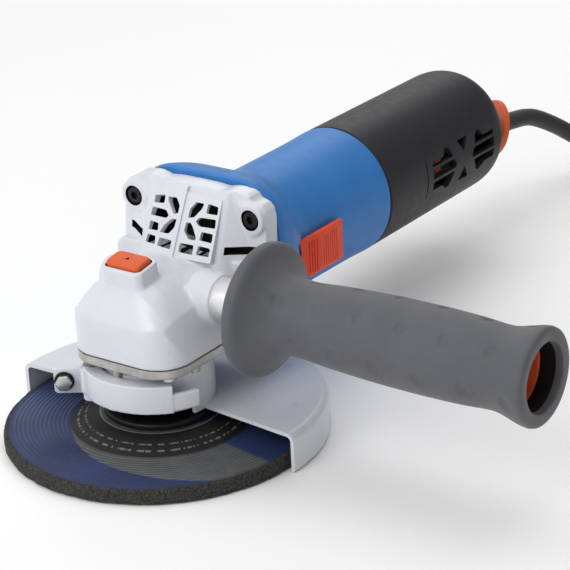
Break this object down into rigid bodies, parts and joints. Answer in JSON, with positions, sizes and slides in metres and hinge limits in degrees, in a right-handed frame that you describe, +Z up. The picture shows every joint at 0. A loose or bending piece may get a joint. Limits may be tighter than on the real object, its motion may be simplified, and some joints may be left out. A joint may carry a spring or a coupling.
{
  "type": "angle grinder",
  "caption": "Corded angle grinder with a guarded abrasive wheel, gear head with air grille, spindle lock, side switch, side handle and coiled power cord.",
  "frame": {"origin": "on the spindle axis, at the spindle's lower end, which is flush with the wheel's lower face", "axes": "+Z up the spindle, +Y back along the motor towards the cord, +X towards the side handle"},
  "size_m": [0.2334, 0.5303, 0.0965],
  "materials": {
    "white_paint": "smooth light grey-white paint, medium gloss",
    "cast_aluminium": "raw die-cast, satin",
    "blue_plastic": "moulded glass-filled nylon, satin",
    "charcoal_plastic": "moulded glass-filled nylon, satin",
    "grey_rubber": "soft matte moulding",
    "orange_plastic": "satin",
    "red_orange_plastic": "satin",
    "abrasive": "resin-bonded grit, rough",
    "bright_steel": "turned and plated",
    "black_steel": "black oxide",
    "black_plastic": "satin",
    "cord_rubber": "matte sheath",
    "laminations": "stacked steel sheet",
    "copper": "enamelled copper",
    "brass": "pressed sheet",
    "carbon": "pressed carbon",
    "capacitor_yellow": "satin"
  },
  "bodies": {
    "housing": {"air_baffle": "black_plastic", "bearing_bracket": "black_plastic", "bearing_flange": "cast_aluminium", "brush_holder_1": "brass", "brush_holder_2": "brass", "capacitor": "capacitor_yellow", "carbon_brush_1": "carbon", "carbon_brush_2": "carbon", "cord_clamp": "black_plastic", "cord_coil": "cord_rubber", "cord_ring": "orange_plastic", "cord_sleeve": "cord_rubber", "cord_tail": "cord_rubber", "cover_screw": "black_steel", "dust_seal": "black_plastic", "field_coil_front": "copper", "field_coil_rear": "copper", "flange_screw_1": "bright_steel", "flange_screw_2": "bright_steel", "flange_screw_3": "bright_steel", "flange_screw_4": "bright_steel", "front_bearing": "bright_steel", "gear_housing": "white_paint", "handle_collar": "bright_steel", "handle_grip": "grey_rubber", "handle_insert": "orange_plastic", "handle_stud": "bright_steel", "housing_screw_1": "black_steel", "housing_screw_2": "black_steel", "housing_screw_3": "black_steel", "housing_screw_4": "black_steel", "lock_spring": "bright_steel", "motor_housing": "blue_plastic", "needle_bearing": "bright_steel", "plug": "cord_rubber", "power_cord": "cord_rubber", "rear_bearing": "bright_steel", "rear_cover": "charcoal_plastic", "spindle_bearing": "bright_steel", "stator_core": "laminations", "switch_module": "black_plastic"},
    "spindle": {"spindle": "bright_steel", "bevel_gear": "bright_steel", "inner_flange": "black_steel", "grinding_wheel": "abrasive", "clamp_nut": "bright_steel"},
    "armature": {"armature_shaft": "bright_steel", "armature_core": "laminations", "commutator": "copper", "fan": "black_plastic", "pinion": "bright_steel"},
    "lock": {"lock_button": "orange_plastic", "lock_pin": "bright_steel"},
    "guard": {"guard": "white_paint", "clamp_bolt": "bright_steel", "clamp_bolt_nut": "bright_steel", "lever_pin": "bright_steel"},
    "clamp_lever": {"clamp_lever": "white_paint"},
    "switch": {"switch_slider": "red_orange_plastic", "switch_link": "black_plastic"}
  },
  "joints": [
    {"name": "spindle_spin", "type": "hinge", "parent": "housing", "child": "spindle", "pos_m": [0, 0, 0], "axis": [0, 0, 1], "continuous": true},
    {"name": "armature_spin", "type": "hinge", "parent": "housing", "child": "armature", "pos_m": [0, 0, 0.0592], "axis": [0, 1, 0], "continuous": true},
    {"name": "lock_press", "type": "slide", "parent": "housing", "child": "lock", "axis": [0, 0, -1], "range_m": [0, 0.0035], "stiffness_N_per_m": 500, "springref_m": -0.002, "deforming": ["lock_spring"]},
    {"name": "guard_turn", "type": "hinge", "parent": "housing", "child": "guard", "pos_m": [0, 0, 0.016], "axis": [0, 0, 1], "range_deg": [-60, 90]},
    {"name": "lever_open", "type": "hinge", "parent": "guard", "child": "clamp_lever", "pos_m": [-0.01773, -0.01969, 0.021], "axis": [0, 0, 1], "range_deg": [-60, 0]},
    {"name": "switch_slide", "type": "slide", "parent": "housing", "child": "switch", "axis": [0, -1, 0], "range_m": [0, 0.007]}
  ],
  "couplings": [
    {"joint": "armature_spin", "follows": "spindle_spin", "ratio": 3.75}
  ]
}
